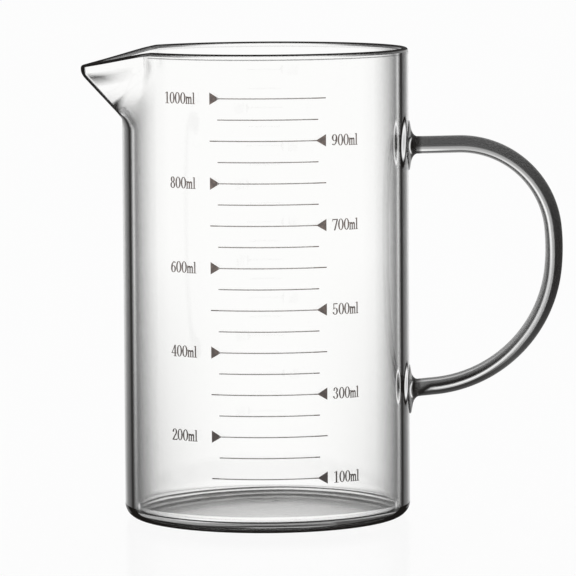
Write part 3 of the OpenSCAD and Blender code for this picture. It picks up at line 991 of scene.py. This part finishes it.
rodFront = rodFinish.front()
fromMiddle = (z - centre.z) / rodLight["halfHeight"]
rodShade = onOuterSide * (rodFacing > rodLight["outerFrom"]) * rodFront \
    * (1 - fromMiddle * fromMiddle).between(0.0, 1.0) * rodLight["outerDark"]
lowEnd = 1 - z.between(*rodLight["lowEnd"])
lowAll, lowMore = rodLight["lowRunShade"]
lowRunShade = lowEnd * rodFacing.between(*rodLight["lowEdge"]) \
    * (lowAll + lowMore * (1 - rodFacing.between(*rodLight["lowMiddle"]))) * rodFront
turnOut = rodFinish.vectors("DOT_PRODUCT", [rodNormal, outward], "Value")
innerGlint = lineAt(turnOut, *rodLight["glint"]) * lowEnd * rodFront * rodLight["glintLight"]
radial = (x * x + y * y) ** 0.5
stand = radial - body["radius"]
fromAxis = (z - topWeld.z).size().smaller((z - lowWeld.z).size())
neck = stand.between(*rodLight["neckStart"]) * (1 - stand.between(*rodLight["neckEnd"])) * rodFront
bow = (x - body["radius"] - rodLight["bowStart"] - fromAxis * fromAxis * rodLight["bowCurve"]) \
    / rodLight["bowWidth"]
crescentHighlight = bell(bow) * (1 - fromAxis.between(*rodLight["bowEnd"])) * rodFront
lineThrough = 1 - lowHalf * (1 - rodFacing.between(*rodLight["lineTurn"])) \
    * stand.between(*rodLight["lineStart"])
# the rod's painted shade and painted highlights
rodShade = rodShade.larger(neck * rodLight["neckDark"] * lineThrough).larger(lowRunShade)
rodHighlight = (crescentHighlight * rodLight["bowLight"]).larger(innerGlint * stand.between(*rodLight["glintFrom"]))
finishGlass(rodFinish, rodShade, rodHighlight, radial < body["radius"] + rodLight["seam"])
rod.data.materials.append(rodFinish.material)

print("print: fired enamel")
enamel = {
    "color": sRgb(92, 83, 79),
    "worn": sRgb(128, 112, 104),
    "footShadeColor": sRgb(43, 38, 35),        # painted shade: the print looks darker towards the foot
    "footShadeRange": (5 * mm, 95 * mm),
    "roughness": 0.5,
    "speckScale": 900.0,
    "speckRange": (0.45, 0.75),
    "lineEnd": 16.2 * mm,                # the ink is thinner on the long lines
    "lineThinning": 0.42,
}
printFinish = Finish("fired_enamel")
x, y, z = printFinish.place()
coords = printFinish.wire(printFinish.node("ShaderNodeTexCoord"), "Object")
speck = printFinish.node("ShaderNodeTexNoise", sockets={"Vector": coords, "Scale": enamel["speckScale"],
                                                        "Detail": 2.0})
worn = printFinish.wire(speck).between(*enamel["speckRange"])
wornColor = printFinish.mixed(worn, enamel["color"], enamel["worn"])
# painted shade on the print towards the foot, over its wear
printColor = printFinish.mixed(z.between(*enamel["footShadeRange"]), enamel["footShadeColor"], wornColor)
onLine = x.size() < enamel["lineEnd"]
printFinish.feed(printFinish.shader.inputs["Base Color"], printColor)
printFinish.feed(printFinish.shader.inputs["Alpha"], 1 - onLine * enamel["lineThinning"])
printFinish.shader.inputs["Roughness"].default_value = enamel["roughness"]
for name, node in frame["nodes"].items():
    if name.startswith("scale_mark"):
        for index in range(len(node.data.materials)):
            node.data.materials[index] = printFinish.material
        if not node.data.materials:
            node.data.materials.append(printFinish.material)

for label in labels:
    label.data.materials.append(printFinish.material)
    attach(label, "root")
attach(vessel, "root")
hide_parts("vessel")
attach(rod, "root")
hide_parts("handle_rod", "upper_handle_foot", "lower_handle_foot")
for piece in (vessel, rod):
    piece.visible_shadow = False
    piece.visible_diffuse = False

print("studio: floor, light and camera")
studio = {
    "floorRadius": 12,
    "floorSides": 96,
    "floorColor": (0.985, 0.985, 0.985, 1),
    "mirrorShare": 0.04,
    "mirrorRoughness": 0.0,
    "skyStrength": 1.0,
}
dropSelection()
bpy.ops.mesh.primitive_circle_add(vertices=studio["floorSides"], radius=studio["floorRadius"],
                                  fill_type="NGON", location=(0, 0, 0))
floor = bpy.context.object
floor.name = "studio_floor"
floorFinish = Finish("floor_paint")
floorFinish.shader.inputs["Base Color"].default_value = studio["floorColor"]
floorFinish.shader.inputs["Roughness"].default_value = 1
floorFinish.shader.inputs["Specular IOR Level"].default_value = 0
mirror = floorFinish.node("ShaderNodeBsdfGlossy", sockets={"Roughness": studio["mirrorRoughness"]})
sheen = floorFinish.node("ShaderNodeMixShader", sockets=[studio["mirrorShare"],
                                                         Wire(floorFinish, floorFinish.shader.outputs[0]),
                                                         floorFinish.wire(mirror)])
floorFinish.feed(floorFinish.output.inputs["Surface"], floorFinish.wire(sheen))
floor.data.materials.append(floorFinish.material)

world = bpy.data.worlds.new("studio_light")
bpy.context.scene.world = world
world.use_nodes = True
background = world.node_tree.nodes["Background"]
background.inputs["Color"].default_value = (1, 1, 1, 1)
background.inputs["Strength"].default_value = studio["skyStrength"]

camera = {
    "place": Vector((7.51, -1693, 242.69)) * mm,
    "target": Vector((7.51, 0, 79.44)) * mm,
    "roll": -0.35 * deg,
    "focalPixels": 4890.1,
    "framePixels": 576,
    "sensor": 36,
    "farthest": 100,
}
dropSelection()
bpy.ops.object.camera_add(location=camera["place"])
eye = bpy.context.object
aim = (camera["target"] - camera["place"]).to_track_quat("-Z", "Y").to_matrix().to_4x4()
eye.matrix_world = Matrix.Translation(camera["place"]) @ aim @ Matrix.Rotation(camera["roll"], 4, "Z")
eye.data.sensor_width = camera["sensor"]
eye.data.lens = camera["focalPixels"] / camera["framePixels"] * camera["sensor"]
eye.data.clip_end = camera["farthest"]
bpy.context.scene.camera = eye
bpy.context.scene.view_settings.view_transform = "Standard"
